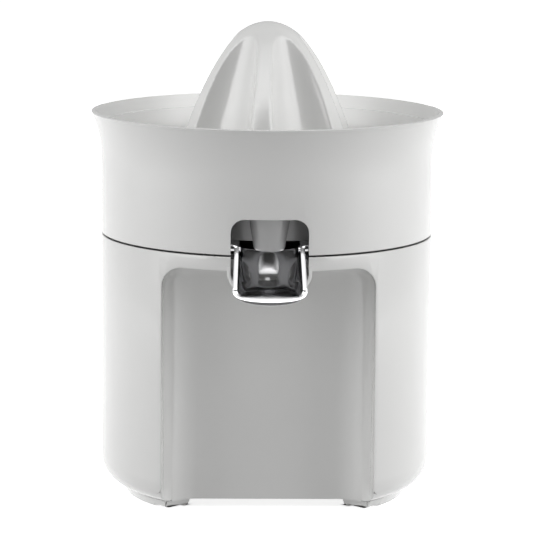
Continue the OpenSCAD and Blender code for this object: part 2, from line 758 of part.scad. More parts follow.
// Steel spout that swings up on two pins.
module spout() color(steel_c) difference() {
  union() {
    intersection() {
      difference() {
        trough(0, trough_rear, trough_front);
        trough(sheet, trough_rear - sheet, trough_front - 7);
      }
      along_x(-window_w - 3, window_w + 3) trough_side();
    }
    intersection() {
      along_x(-spout_lip_w + 0.1, spout_lip_w - 0.1)
        translate([-spout_reach + lip_roll, lip_z]) difference() {
          circle(lip_roll);
          circle(lip_roll - sheet);
          translate([0, -10]) square([20, 20]);
          translate([-20, -20]) square([40, 20]);
        }
      along_y(-spout_reach - 5, trough_rear) u_shape(spout_lip_w - 0.1, lip_z - 0.3, hinge_z, 8);
    }
    for (s = [-1, 1]) trough_ear(s);
  }
  block(-spout_rear_w + 1.5, spout_rear_w - 1.5, trough_rear - 4, trough_rear + 5,
        hinge_z - 5.5, hinge_z + 8);
  translate([-body_r, hinge_y, hinge_z]) rotate([0, 90, 0]) rod(pin_r + 0.05, 0, body_d);
}

// Ear that bends outwards over one hinge post.
module trough_ear(s) {
  x0 = spout_rear_w - 0.6;
  x1 = window_w;
  block(min(s * x0, s * x1), max(s * x0, s * x1), hinge_y - 2.3, hinge_y + 2.3,
        hinge_z + 3.1, hinge_z + 3.9);
}

// Bowl: flared wall, floor, skirt with window, nozzle and centre tube.
module juice_bowl() color(white_c) difference() {
  union() {
    difference() {
      union() {
        rod(body_r, bowl_bottom, flare_z);
        rotate_extrude() flare_half(0, rim_z);
      }
      pot(inner_r, floor_z + floor_t, flare_z + eps, 8);
      rotate_extrude() flare_half(wall, rim_z + 1);
      rotate_extrude() intersection() {
        flare_half(wall - 0.8, rim_z + 1);
        translate([0, rim_z - 6]) square([rim_r + 5, 10]);
      }
      rod(inner_r, bowl_bottom - 1, floor_z);
      along_y(-body_r - 4, -body_r + 6) arch_shape(window_w, bowl_bottom - 9, window_top, window_r);
    }
    difference() {
      tube(skirt_r, skirt_r - skirt_t, skirt_bottom, floor_z + eps);
      for (a = key_turns) rotate([0, 0, a])
        block(skirt_r - 10, skirt_r + 5, -2.6, 2.6, skirt_bottom - 1, floor_z - 4);
    }
    tube(bowl_tube_r, bowl_tube_in, floor_z, bowl_tube_top);
    translate([0, nozzle_y, 0]) nozzle_body();
  }
  rod(bowl_tube_in, bowl_bottom, bowl_tube_top + 5);
  translate([0, nozzle_y, 0]) rod(nozzle_r, bowl_bottom - 5, floor_z + 5);
  translate([0, nozzle_y, floor_z - 1.6]) cylinder(r1 = nozzle_r, r2 = nozzle_r + 3, h = floor_t + 1.7);
}

// Tapered nozzle with a rounded end.
module nozzle_body() {
  translate([0, 0, nozzle_bottom + 2])
    cylinder(r1 = nozzle_r + 2.4, r2 = nozzle_r + 5.3, h = floor_z - nozzle_bottom - 1);
  rotate_extrude() intersection() {
    translate([nozzle_r + 0.4, nozzle_bottom + 2]) circle(2);
    translate([0, nozzle_bottom - 1]) square([20, 10]);
  }
  rod(nozzle_r + 0.4, nozzle_bottom, nozzle_bottom + 3);
}

// Strainer that turns with the cone, with a ring of slots.
module strainer() color(white_c) difference() {
  union() {
    tube(strainer_r, strainer_r - 1.8, strainer_z, strainer_z + 8);
    rod(strainer_r - 1, strainer_z, strainer_z + strainer_t);
    rod(hub_r, strainer_z - 1, hub_top);
  }
  rod(hub_in, strainer_z - 2, hub_roof);
  translate([0, 0, hub_roof - 1]) cylinder(r = socket_r, h = 6, $fn = 6);
  for (a = [0:7.5:359]) rotate([0, 0, a])
    block(strainer_r - 22, strainer_r - 5, -0.9, 0.9, strainer_z - 1, strainer_z + 3);
}

// Radius of the cone at share t of its height from the tip.
function side_r(t) = cone_r * sqrt(1.136 * t - 0.136 * t * t);

// Solid of the cone, with its side moved inwards by g and its foot lowered by drop.
module cone_body(g, drop) {
  steps = 26;
  shares = [for (i = [1:steps]) let (t = pow(i / steps, 1.8)) if (side_r(t) > 3 * g) t];
  top = g > 0 ? cone_tip_z - shares[0] * cone_h : cone_tip_z;
  rotate_extrude() polygon(concat(
    [[0, top]], [for (t = shares) [side_r(t) - g, cone_tip_z - t * cone_h]],
    [[side_r(1) - g, cone_bottom - drop], [0, cone_bottom - drop]]));
}

// Leaning round cutters for the valleys between the ribs, grown by g.
module valleys(g) for (k = [0:rib_count - 1])
  rotate([0, 0, -90 + rib_turn + (k + 0.5) * 360 / rib_count])
    translate([1.388 * cone_r, 0, cone_bottom - 0.025 * cone_h])
      rotate([0, -atan(0.902 * cone_r / cone_h), 0])
        cylinder(r1 = 0.589 * cone_r + g, r2 = 0.194 * cone_r + g, h = 1.2 * cone_h);

// Reaming cone: a ribbed shell with a hexagonal socket inside.
module cone() color(white_c) difference() {
  cone_body(0, 0);
  valleys(0);
  difference() {
    cone_body(cone_wall, 1);
    valleys(cone_wall);
    rod(driver_r + 3.4, hub_top + seat_gap, cone_tip_z);
  }
  rod(hub_r + 0.6, cone_bottom - 1, hub_top + seat_gap);
  translate([0, 0, hub_top]) cylinder(r = socket_r, h = driver_top + 1 - hub_top, $fn = 6);
}

place() lower_housing();
place() deck();
place() base_plate();
place() foot_arcs();
place() base_screws();
place() deck_screws();
place() gear_plate();
place() gearbox_screws();
place() gear_axle();
place() tower_bush();
place() plate_bush();
place() shaft_seal();
place() stator();
place() coil_bobbin();
place() motor_coil();
place() bracket_top();
place() bracket_bottom();
place() motor_bushes();
place() motor_spacers();
place() motor_screws();
place() thrust_guide();
place() switch_body();
place() switch_screws();
place() terminal_block();
place() lead_wires();
place() cord_gland();
place() cord_clamp();
place() clamp_screws();
place() spout_pins();
place() return_spring();
place() press_piston();
place() switch_plunger();
place() drive_shaft();
place() shaft_driver();
place() output_gear();
place() gear_pin();
place() compound_gear();
place() motor_rotor();
place() rotor_shaft();
place() motor_pinion();
place() cooling_fan();
place() spout();
place() juice_bowl();
place() strainer();
place() cone();
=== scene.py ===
import math

import bpy
from bpy.props import FloatProperty, FloatVectorProperty, IntProperty, PointerProperty
from bpy.types import Operator, Panel, PropertyGroup
from mathutils import Euler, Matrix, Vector
from mathutils.kdtree import KDTree


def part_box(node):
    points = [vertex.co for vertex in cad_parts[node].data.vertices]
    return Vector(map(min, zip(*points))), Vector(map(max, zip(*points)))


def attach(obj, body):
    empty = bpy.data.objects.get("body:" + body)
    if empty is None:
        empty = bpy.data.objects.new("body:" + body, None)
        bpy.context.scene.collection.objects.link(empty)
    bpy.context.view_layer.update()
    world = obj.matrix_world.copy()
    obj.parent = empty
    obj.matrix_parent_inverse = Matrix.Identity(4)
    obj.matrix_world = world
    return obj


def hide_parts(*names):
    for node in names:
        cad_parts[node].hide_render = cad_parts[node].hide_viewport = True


bl_info = {
    "name": "Citrus press",
    "version": (1, 0, 0),
    "blender": (4, 5, 0),
    "location": "3D View > Sidebar > Citrus press",
    "description": "Motor-driven citrus press with a ribbed cone, a round bowl and a steel pouring spout",
    "category": "Add Mesh",
}

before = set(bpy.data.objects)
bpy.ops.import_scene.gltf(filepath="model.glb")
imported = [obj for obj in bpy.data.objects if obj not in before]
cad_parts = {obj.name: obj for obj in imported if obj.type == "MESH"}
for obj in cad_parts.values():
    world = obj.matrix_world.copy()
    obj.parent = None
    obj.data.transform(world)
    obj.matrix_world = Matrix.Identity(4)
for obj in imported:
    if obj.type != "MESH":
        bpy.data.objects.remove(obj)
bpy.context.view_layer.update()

HOUSE_LOW, HOUSE_HIGH = [Vector(c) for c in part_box("lower_housing")]
BOWL_LOW, BOWL_HIGH = [Vector(c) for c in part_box("juice_bowl")]
SIEVE_LOW, SIEVE_HIGH = [Vector(c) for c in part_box("strainer")]
CONE_LOW, CONE_HIGH = [Vector(c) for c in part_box("cone")]
FEET_LOW = Vector(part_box("foot_arcs")[0])
AXIS_Y = (SIEVE_LOW.y + SIEVE_HIGH.y) / 2


def length(name, text, default, low=0.0001):
    return FloatProperty(name=name, description=text, default=default, min=low, unit="LENGTH", precision=5)


def tint(name, text, default):
    return FloatVectorProperty(name=name, description=text, default=default, size=3, min=0.0, max=1.0,
                               subtype="COLOR")


class PressSizes(PropertyGroup):
    """Sizes of the moulded body, the bowl, the cone and the spout"""
    body_radius: length("Body radius", "Radius of the upright wall", 0.0755)
    wall: length("Wall", "Thickness of the moulded walls", 0.0024)
    base_radius: length("Base radius", "Radius of the hole for the base plate", 0.0633)
    foot_corner: length("Foot corner", "Round at the foot of the housing", 0.013)
    foot_floor: length("Foot floor radius", "Outer radius of the feet where they stand", 0.0643)
    foot_top: length("Foot top radius", "Outer radius of the feet under the housing", 0.0676)
    edge_round: length("Edge round", "Round on the edge of the recess", 0.0008)
    recess_half: length("Recess half width", "Half of the width of the glass recess", 0.047)
    recess_back: length("Recess back", "Distance of its flat back from the drive axis", 0.0415)
    recess_top: length("Recess top", "Height of its ceiling", 0.1125)
    recess_fillet: length("Recess fillet", "Round between its back and sides", 0.016)
    recess_wall: length("Recess wall", "Thickness of its walls", 0.0022)
    ceiling_round: length("Ceiling round", "Round below its ceiling", 0.0092)
    window_half: length("Window half width", "Half of the width of the spout's window", 0.017)
    window_top: length("Window top", "Height of the window's upper edge", 0.1354)
    window_corner: length("Window corner", "Round of its upper corners", 0.006)
    window_round: length("Window edge", "Round on the edge of the window", 0.0005)
    collar_wall: length("Collar wall", "Thickness of the collar under the spout", 0.0015)
    collar_low: length("Collar bottom", "Height of the collar's lowest point", 0.103)
    collar_corner: length("Collar corner", "Round of its lower corners", 0.009)
    collar_depth: length("Collar depth", "Distance of its rear end from the drive axis", 0.053)
    flare_height: length("Flare height", "Height of the flared part of the bowl", 0.022)
    floor_height: length("Bowl floor", "Height of the underside of the bowl's floor", 0.138)
    floor_wall: length("Floor wall", "Thickness of the bowl's floor", 0.0024)
    tube_outer: length("Centre tube", "Outer radius of the tube in the bowl", 0.019)
    tube_inner: length("Centre tube bore", "Inner radius of the tube in the bowl", 0.0166)
    tube_top: length("Centre tube top", "Height of the tube's upper end", 0.150)
    skirt_outer: length("Skirt radius", "Outer radius of the skirt below the bowl", 0.0602)
    skirt_low: length("Skirt bottom", "Height of the skirt's lower edge", 0.124)
    nozzle_reach: length("Nozzle reach", "Distance of the outlet from the drive axis", 0.0645)
    nozzle_bore: length("Nozzle bore", "Radius of the hole in the outlet", 0.0045)
    nozzle_low: length("Nozzle bottom", "Height of the outlet's lower end", 0.1206)
    cone_foot: length("Cone foot", "Radius of the cone at its foot", 0.0448)
    ribs: IntProperty(name="Ribs", description="Number of ribs on the cone", default=6, min=3, max=12)
    rib_turn: FloatProperty(name="Rib turn", description="First rib from the front, in degrees",
                            default=55.0)
    hub_room: length("Hub room", "Radius of the room for the strainer's hub", 0.0232)
    hub_roof: length("Hub roof", "Height of the top of that room", 0.1563)
    trough_rear: length("Trough rear", "Distance of the trough's rear end from the drive axis", 0.0582)
    trough_front: length("Trough front", "Distance of the lip's inner line from the drive axis", 0.0863)
    trough_rear_half: length("Trough rear half width", "Half width of the trough at its rear", 0.0129)
    trough_front_half: length("Trough front half width", "Half width of the trough at its lip", 0.0142)
    trough_low: length("Trough floor", "Height of the trough's floor at the lip", 0.1043)
    trough_rise: length("Trough rise", "How far the floor curves up towards the rear", 0.0145)
    rim_high: length("Rim at the hinge", "Height of the side rims near the hinge", 0.122)
    rim_low: length("Rim at the lip", "Height of the side rims at the lip", 0.1068)
    rim_wide: length("Rim width", "Width of the rolled side rims", 0.0019)
    lip_low: length("Lip bottom", "Height of the lip's lowest point", 0.1000)
    lip_forward: length("Lip reach", "How far the lip turns forward", 0.0041)
    hinge_reach: length("Hinge reach", "Distance of the hinge from the drive axis", 0.067)
    ear_high: length("Ear top", "Height of the hinge ears at their rear", 0.1248)
    ear_half: length("Ear half width", "Half width over the two hinge ears", 0.0169)
    sheet: length("Sheet", "Thickness of the steel sheet", 0.0007)
    socket: length("Socket", "Corner radius of the hexagonal socket", 0.00742)


class PressFinishes(PropertyGroup):
    """Colours of the press"""
    moulding: tint("Moulding", "Colour of the glossy body, bowl and cone", (0.80, 0.80, 0.79))
    base: tint("Base", "Colour of the base plate", (0.70, 0.70, 0.69))
    # Painted shade: the skirt and outlet are the bowl's own white moulding, greyed here to stand in for the shade
    # under the bowl.
    underside: tint("Underside", "Colour of the skirt and outlet below the bowl", (0.42, 0.42, 0.42))
    # Painted shade: the cover under the bowl is darkened to near black to stand in for the shade inside the
    # housing.
    inner: tint("Inner cover", "Colour of the cover under the bowl", (0.12, 0.12, 0.125))
    steel: tint("Steel", "Colour of the polished steel", (0.66, 0.66, 0.67))
    floor: tint("Floor", "Colour of the floor", (0.93, 0.93, 0.93))


class PressStage(PropertyGroup):
    """Light and camera of the stage"""
    sky: FloatProperty(name="Sky light", description="Strength of the plain light from all round",
                       default=0.42)
    front_sky: FloatProperty(name="Front light", description="Strength of the light from the front",
                             default=0.16)
    panel_light: FloatProperty(name="Panel light", description="Strength of the side panels in the gloss",
                               default=4.2)
    side_light: FloatProperty(name="Side light", description="Power of the large lamp on the left",
                              default=11.0)
    fill_light: FloatProperty(name="Fill light", description="Power of the large lamp on the right",
                              default=13.0)
    top_light: FloatProperty(name="Top light", description="Power of the lamp overhead", default=0.8)
    floor_glow: FloatProperty(name="Floor glow", description="Light that the floor itself gives",
                              default=0.6)
    lens: FloatProperty(name="Lens", description="Focal length in millimetres", default=199.0)


def sizes():
    return bpy.context.scene.press_sizes


def finishes():
    return bpy.context.scene.press_finishes


# Materials.

def node_at(tree, kind, x, y, **values):
    node = tree.nodes.new(kind)
    node.location = (x, y)
    for key, value in values.items():
        if key in node.inputs:
            node.inputs[key].default_value = value
        else:
            setattr(node, key, value)
    return node


def base_material(name, colour, roughness, metallic=0.0):
    material = bpy.data.materials.new(name)
    material.use_nodes = True
    material.diffuse_color = (*colour, 1.0)
    tree = material.node_tree
    shader = tree.nodes["Principled BSDF"]
    shader.inputs["Base Color"].default_value = (*colour, 1.0)
    shader.inputs["Roughness"].default_value = roughness
    shader.inputs["Metallic"].default_value = metallic
    return material, tree, shader


def add_tone(tree, shader, where, colour, scale, amount, stretch=(1, 1, 1)):
    """Slight change of shade over the surface, from noise in object space."""
    spread = node_at(tree, "ShaderNodeMapping", -1000, 300)
    spread.inputs["Scale"].default_value = stretch
    tree.links.new(where, spread.inputs["Vector"])
    noise = node_at(tree, "ShaderNodeTexNoise", -800, 300, Scale=scale, Detail=3.0)
    tree.links.new(spread.outputs["Vector"], noise.inputs["Vector"])
    ramp = node_at(tree, "ShaderNodeValToRGB", -600, 300)
    ramp.color_ramp.elements[0].position = 0.3
    ramp.color_ramp.elements[1].position = 0.7
    ramp.color_ramp.elements[0].color = (*[c * (1 - amount) for c in colour], 1.0)
    ramp.color_ramp.elements[1].color = (*[min(1.0, c * (1 + amount)) for c in colour], 1.0)
    tree.links.new(noise.outputs["Fac"], ramp.inputs["Fac"])
    tree.links.new(ramp.outputs["Color"], shader.inputs["Base Color"])


def add_sheen_map(tree, shader, where, scale, low, high):
    """Roughness that changes a little, as handling leaves it."""
    noise = node_at(tree, "ShaderNodeTexNoise", -800, 0, Scale=scale, Detail=4.0)
    tree.links.new(where, noise.inputs["Vector"])
    spread = node_at(tree, "ShaderNodeMapRange", -600, 0)
    spread.inputs["From Min"].default_value = 0.3
    spread.inputs["From Max"].default_value = 0.7
    spread.inputs["To Min"].default_value = low
    spread.inputs["To Max"].default_value = high
    tree.links.new(noise.outputs["Fac"], spread.inputs["Value"])
    tree.links.new(spread.outputs["Result"], shader.inputs["Roughness"])


def add_bump(tree, shader, height, strength, depth):
    bump = node_at(tree, "ShaderNodeBump", -300, -300, Strength=strength, Distance=depth)
    tree.links.new(height, bump.inputs["Height"])
    tree.links.new(bump.outputs["Normal"], shader.inputs["Normal"])


def grain(tree, where, scale, detail=2.0, stretch=(1, 1, 1)):
    spread = node_at(tree, "ShaderNodeMapping", -1000, -300)
    spread.inputs["Scale"].default_value = stretch
    tree.links.new(where, spread.inputs["Vector"])
    noise = node_at(tree, "ShaderNodeTexNoise", -800, -300, Scale=scale, Detail=detail)
    tree.links.new(spread.outputs["Vector"], noise.inputs["Vector"])
    return noise.outputs["Fac"]


def moulded(name, colour, low=0.16, high=0.24, coat=0.6, tone=0.012, peel=0.08, depth=0.00002, scale=260.0):
    material, tree, shader = base_material(name, colour, low)
    where = node_at(tree, "ShaderNodeTexCoord", -1200, 0).outputs["Object"]
    add_tone(tree, shader, where, colour, 18.0, tone)
    add_sheen_map(tree, shader, where, 60.0, low, high)
    add_bump(tree, shader, grain(tree, where, scale), peel, depth)
    shader.inputs["Coat Weight"].default_value = coat
    shader.inputs["Coat Roughness"].default_value = 0.06
    shader.inputs["IOR"].default_value = 1.5
    return material


def sheet_metal(name, colour, low, high, stretch, scale=900.0, peel=0.06, depth=0.00001, tone=0.03):
    material, tree, shader = base_material(name, colour, low, 1.0)
    where = node_at(tree, "ShaderNodeTexCoord", -1200, 0).outputs["Object"]
    add_tone(tree, shader, where, colour, 90.0, tone, stretch)
    add_sheen_map(tree, shader, where, 120.0, low, high)
    add_bump(tree, shader, grain(tree, where, scale, 2.0, stretch), peel, depth)
    return material


def banded(name, colour, dark, pitch, direction, metallic, low, high, depth):
    """Fine bands at a set pitch: stacked laminations or wound wire."""
    material, tree, shader = base_material(name, colour, low, metallic)
    where = node_at(tree, "ShaderNodeTexCoord", -1200, 0).outputs["Object"]
    wave = node_at(tree, "ShaderNodeTexWave", -800, 300, wave_type="BANDS", bands_direction=direction,
                   wave_profile="SIN")
    wave.inputs["Scale"].default_value = 0.314 / pitch
    tree.links.new(where, wave.inputs["Vector"])
    ramp = node_at(tree, "ShaderNodeValToRGB", -600, 300)
    ramp.color_ramp.elements[0].color = (*dark, 1.0)
    ramp.color_ramp.elements[0].position = 0.05
    ramp.color_ramp.elements[1].color = (*colour, 1.0)
    ramp.color_ramp.elements[1].position = 0.4
    tree.links.new(wave.outputs["Fac"], ramp.inputs["Fac"])
    tree.links.new(ramp.outputs["Color"], shader.inputs["Base Color"])
    add_sheen_map(tree, shader, where, 80.0, low, high)
    add_bump(tree, shader, wave.outputs["Fac"], 0.5, depth)
    return material


def make_materials():
    f = finishes()
    m = {}
    m["glossy_moulding"] = moulded("glossy_moulding", tuple(f.moulding))
    # Painted shade: grey moulding for the faces under the bowl's floor, standing in for the shade there.
    m["painted_shade_moulding"] = moulded("painted_shade_moulding", tuple(f.underside), 0.2, 0.3, 0.3, 0.015)
    m["base_moulding"] = moulded("base_moulding", tuple(f.base), 0.28, 0.38, 0.1, 0.015, 0.12)
    # Painted shade: near-black moulding for the cover under the bowl, standing in for the shade inside the
    # housing.
    m["painted_shade_deck"] = moulded("painted_shade_deck", tuple(f.inner), 0.26, 0.36, 0.1, 0.02, 0.15)
    m["polished_steel"] = sheet_metal("polished_steel", tuple(f.steel), 0.08, 0.16, (8, 1, 1))
    m["turned_steel"] = sheet_metal("turned_steel", (0.55, 0.55, 0.56), 0.2, 0.3, (1, 1, 6))
    m["plated_zinc"] = sheet_metal("plated_zinc", (0.5, 0.5, 0.49), 0.28, 0.42, (1, 1, 1), 500.0, 0.15,
                                   0.00003, 0.06)
    m["sintered_bronze"] = sheet_metal("sintered_bronze", (0.5, 0.33, 0.14), 0.35, 0.5, (1, 1, 1), 1500.0,
                                       0.25, 0.00003, 0.08)
    m["natural_acetal"] = moulded("natural_acetal", (0.72, 0.69, 0.58), 0.3, 0.42, 0.0, 0.03, 0.15)
    m["black_moulding"] = moulded("black_moulding", (0.02, 0.02, 0.022), 0.35, 0.5, 0.0, 0.1, 0.2)
    m["soft_rubber"] = moulded("soft_rubber", (0.03, 0.03, 0.032), 0.55, 0.75, 0.0, 0.12, 0.4, 0.00004, 700.0)
    m["steel_laminations"] = banded("steel_laminations", (0.2, 0.2, 0.205), (0.04, 0.04, 0.04), 0.0005, "Z",
                                    0.9, 0.35, 0.5, 0.00008)
    m["enamelled_copper"] = banded("enamelled_copper", (0.5, 0.2, 0.07), (0.12, 0.03, 0.01), 0.0004, "Y",
                                   0.8, 0.25, 0.38, 0.00012)
    return m


NODE_FINISHES = {
    "glossy_moulding": ["lower_housing", "juice_bowl", "strainer", "cone"],
    "base_moulding": ["base_plate"],
    # Painted shade: the deck gets the near-black painted-shade moulding.
    "painted_shade_deck": ["deck"],
    "polished_steel": ["spout", "spout_pins"],
    "turned_steel": ["gear_axle", "drive_shaft", "gear_pin", "rotor_shaft", "return_spring"],
    "plated_zinc": ["base_screws", "deck_screws", "gear_plate", "gearbox_screws", "bracket_top",
                    "bracket_bottom", "motor_spacers", "motor_screws", "switch_screws", "clamp_screws"],
    "sintered_bronze": ["tower_bush", "plate_bush", "motor_bushes", "motor_pinion"],
    "natural_acetal": ["coil_bobbin", "thrust_guide", "terminal_block", "cord_clamp", "press_piston",
                       "switch_plunger", "shaft_driver", "output_gear", "compound_gear"],
    "black_moulding": ["switch_body", "lead_wires", "cooling_fan"],
    "soft_rubber": ["shaft_seal", "cord_gland"],
    "steel_laminations": ["stator", "motor_rotor"],
    "enamelled_copper": ["motor_coil"],
}


# Modelling helpers.

MM = 0.001


def deselect_everything():
    if bpy.context.object and bpy.context.object.mode != "OBJECT":
        bpy.ops.object.mode_set(mode="OBJECT")
    bpy.ops.object.select_all(action="DESELECT")


def make_active(piece):
    deselect_everything()
    piece.select_set(True)
    bpy.context.view_layer.objects.active = piece


def start_point(name, place):
    """A new mesh that is one point, ready to be extruded in edit mode."""
    deselect_everything()
    bpy.ops.mesh.primitive_plane_add(size=0.001, location=place)
    piece = bpy.context.object
    piece.name = name
    piece.data.name = name
    bpy.ops.object.transform_apply(location=True, rotation=True, scale=True)
    bpy.ops.object.mode_set(mode="EDIT")
    bpy.ops.mesh.select_mode(type="VERT")
    bpy.ops.mesh.select_all(action="SELECT")
    bpy.ops.mesh.merge(type="CENTER")
    return piece


def run_line(points):
    """Extrudes the selected end point through the points in turn."""
    for here, there in zip(points, points[1:]):
        step = [there[k] - here[k] for k in range(3)]
        bpy.ops.mesh.extrude_region_move(TRANSFORM_OT_translate={"value": step})


def tidy_mesh(merge=0.00002):
    bpy.ops.mesh.select_all(action="SELECT")
    bpy.ops.mesh.remove_doubles(threshold=merge)
    bpy.ops.mesh.normals_make_consistent(inside=False)
    bpy.ops.object.mode_set(mode="OBJECT")


def lathe(name, outline, centre=None, steps=144, closed=True):
    """Turns an outline of (radius, height) pairs about an upright axis."""
    centre = centre or (0.0, AXIS_Y)
    points = [(centre[0] + r, centre[1], z) for r, z in outline]
    if closed:
        points.append(points[0])
    piece = start_point(name, points[0])
    run_line(points)
    bpy.ops.mesh.select_all(action="SELECT")
    bpy.ops.mesh.remove_doubles(threshold=0.000005)
    bpy.ops.mesh.select_all(action="SELECT")
    bpy.ops.mesh.spin(steps=steps, angle=math.tau, center=(centre[0], centre[1], 0.0), axis=(0, 0, 1),
                      use_auto_merge=True)
    tidy_mesh(0.000005)
    return piece


def arc(x, z, r, start, end, steps):
    """Points of a round: centre, radius, first and last angle in degrees."""
    turns = [math.radians(start + (end - start) * k / steps) for k in range(steps + 1)]
    return [(x + r * math.cos(t), z + r * math.sin(t)) for t in turns]


def prism(name, outline, y0, y1):
    """Stands an outline in x and z along y and closes both ends."""
    points = [(x, y0, z) for x, z in outline]
    piece = start_point(name, points[0])
    run_line(points + [points[0]])
    bpy.ops.mesh.select_all(action="SELECT")
    bpy.ops.mesh.remove_doubles(threshold=0.000005)
    bpy.ops.mesh.select_all(action="SELECT")
    bpy.ops.mesh.edge_face_add()
    bpy.ops.mesh.extrude_region_move(TRANSFORM_OT_translate={"value": (0, y1 - y0, 0)})
    tidy_mesh(0.000005)
    return piece


def block(name, low, high):
    deselect_everything()
    middle = [(a + b) / 2 for a, b in zip(low, high)]
    bpy.ops.mesh.primitive_cube_add(size=1.0, location=middle, scale=[b - a for a, b in zip(low, high)])
    piece = bpy.context.object
    piece.name = name
    bpy.ops.object.transform_apply(location=True, rotation=True, scale=True)
    return piece


def combine(piece, tool, how):
    """Joins, cuts or keeps the common part of two pieces, and removes the tool."""
    make_active(piece)
    step = piece.modifiers.new("combine", "BOOLEAN")
    step.operation = how
    step.solver = "EXACT"
    step.object = tool
    bpy.ops.object.modifier_apply(modifier=step.name)
    bpy.data.objects.remove(tool, do_unlink=True)


def pick_edges(piece, wanted):
    """Selects the edges whose two end points pass the test together, in edit mode."""
    make_active(piece)
    bpy.ops.object.mode_set(mode="EDIT")
    bpy.ops.mesh.select_mode(type="EDGE")
    bpy.ops.mesh.select_all(action="DESELECT")
    bpy.ops.object.mode_set(mode="OBJECT")
    points = piece.data.vertices
    for edge in piece.data.edges:
        edge.select = bool(wanted(points[edge.vertices[0]].co, points[edge.vertices[1]].co))
        if edge.select:
            points[edge.vertices[0]].select = points[edge.vertices[1]].select = True
    bpy.ops.object.mode_set(mode="EDIT")


def select_edges(piece, wanted):
    """Selects the sharp edges whose two end points pass the test, in edit mode."""
    make_active(piece)
    bpy.ops.object.mode_set(mode="EDIT")
    bpy.ops.mesh.select_mode(type="EDGE")
    bpy.ops.mesh.select_all(action="DESELECT")
    bpy.ops.mesh.edges_select_sharp(sharpness=math.radians(28))
    bpy.ops.object.mode_set(mode="OBJECT")
    mesh = piece.data
    for edge in mesh.edges:
        if edge.select:
            a, b = (mesh.vertices[k].co for k in edge.vertices)
            edge.select = bool(wanted(a) and wanted(b))
    for face in mesh.polygons:
        face.select = False
    for vertex in mesh.vertices:
        vertex.select = False
    for edge in mesh.edges:
        if edge.select:
            for k in edge.vertices:
                mesh.vertices[k].select = True
    bpy.ops.object.mode_set(mode="EDIT")


def round_edges(piece, wanted, width, steps=3, merge=0.00012):
    select_edges(piece, wanted)
    bpy.ops.mesh.remove_doubles(threshold=merge)
    bpy.ops.object.mode_set(mode="OBJECT")
    select_edges(piece, wanted)
    bpy.ops.mesh.bevel(offset=width, offset_type="OFFSET", segments=steps, profile=0.5, clamp_overlap=False)
    bpy.ops.object.mode_set(mode="OBJECT")


def finish_piece(piece, body, node, finish, angle=35):
    make_active(piece)
    bpy.ops.object.shade_smooth_by_angle(angle=math.radians(angle))
    piece.data.materials.clear()
    piece.data.materials.append(bpy.data.materials[finish])
    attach(piece, body)
    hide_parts(node)


def axial(v):
    return math.hypot(v.x, v.y - AXIS_Y)


def glass_space(name, wide, back, top, fillet):
    """Room for the glass: two sides, a back with round corners and a round ceiling."""
    space = block(name, (-wide, AXIS_Y - 0.1, -0.001), (wide, AXIS_Y - back, top))
    back_line = AXIS_Y - back
    pick_edges(space, lambda a, b: abs(a.x - b.x) + abs(a.y - b.y) < 1e-6 and abs(a.y - back_line) < 1e-5)
    bpy.ops.mesh.bevel(offset=fillet, offset_type="OFFSET", segments=14, profile=0.5)
    bpy.ops.object.mode_set(mode="OBJECT")
    front = AXIS_Y - 0.1 + 1e-5
    pick_edges(space, lambda a, b: min(a.z, b.z) > top - 1e-6 and max(a.y, b.y) > front)
    bpy.ops.mesh.bevel(offset=sizes().ceiling_round, offset_type="OFFSET", segments=9, profile=0.5)
    tidy_mesh(0.000005)
    return space


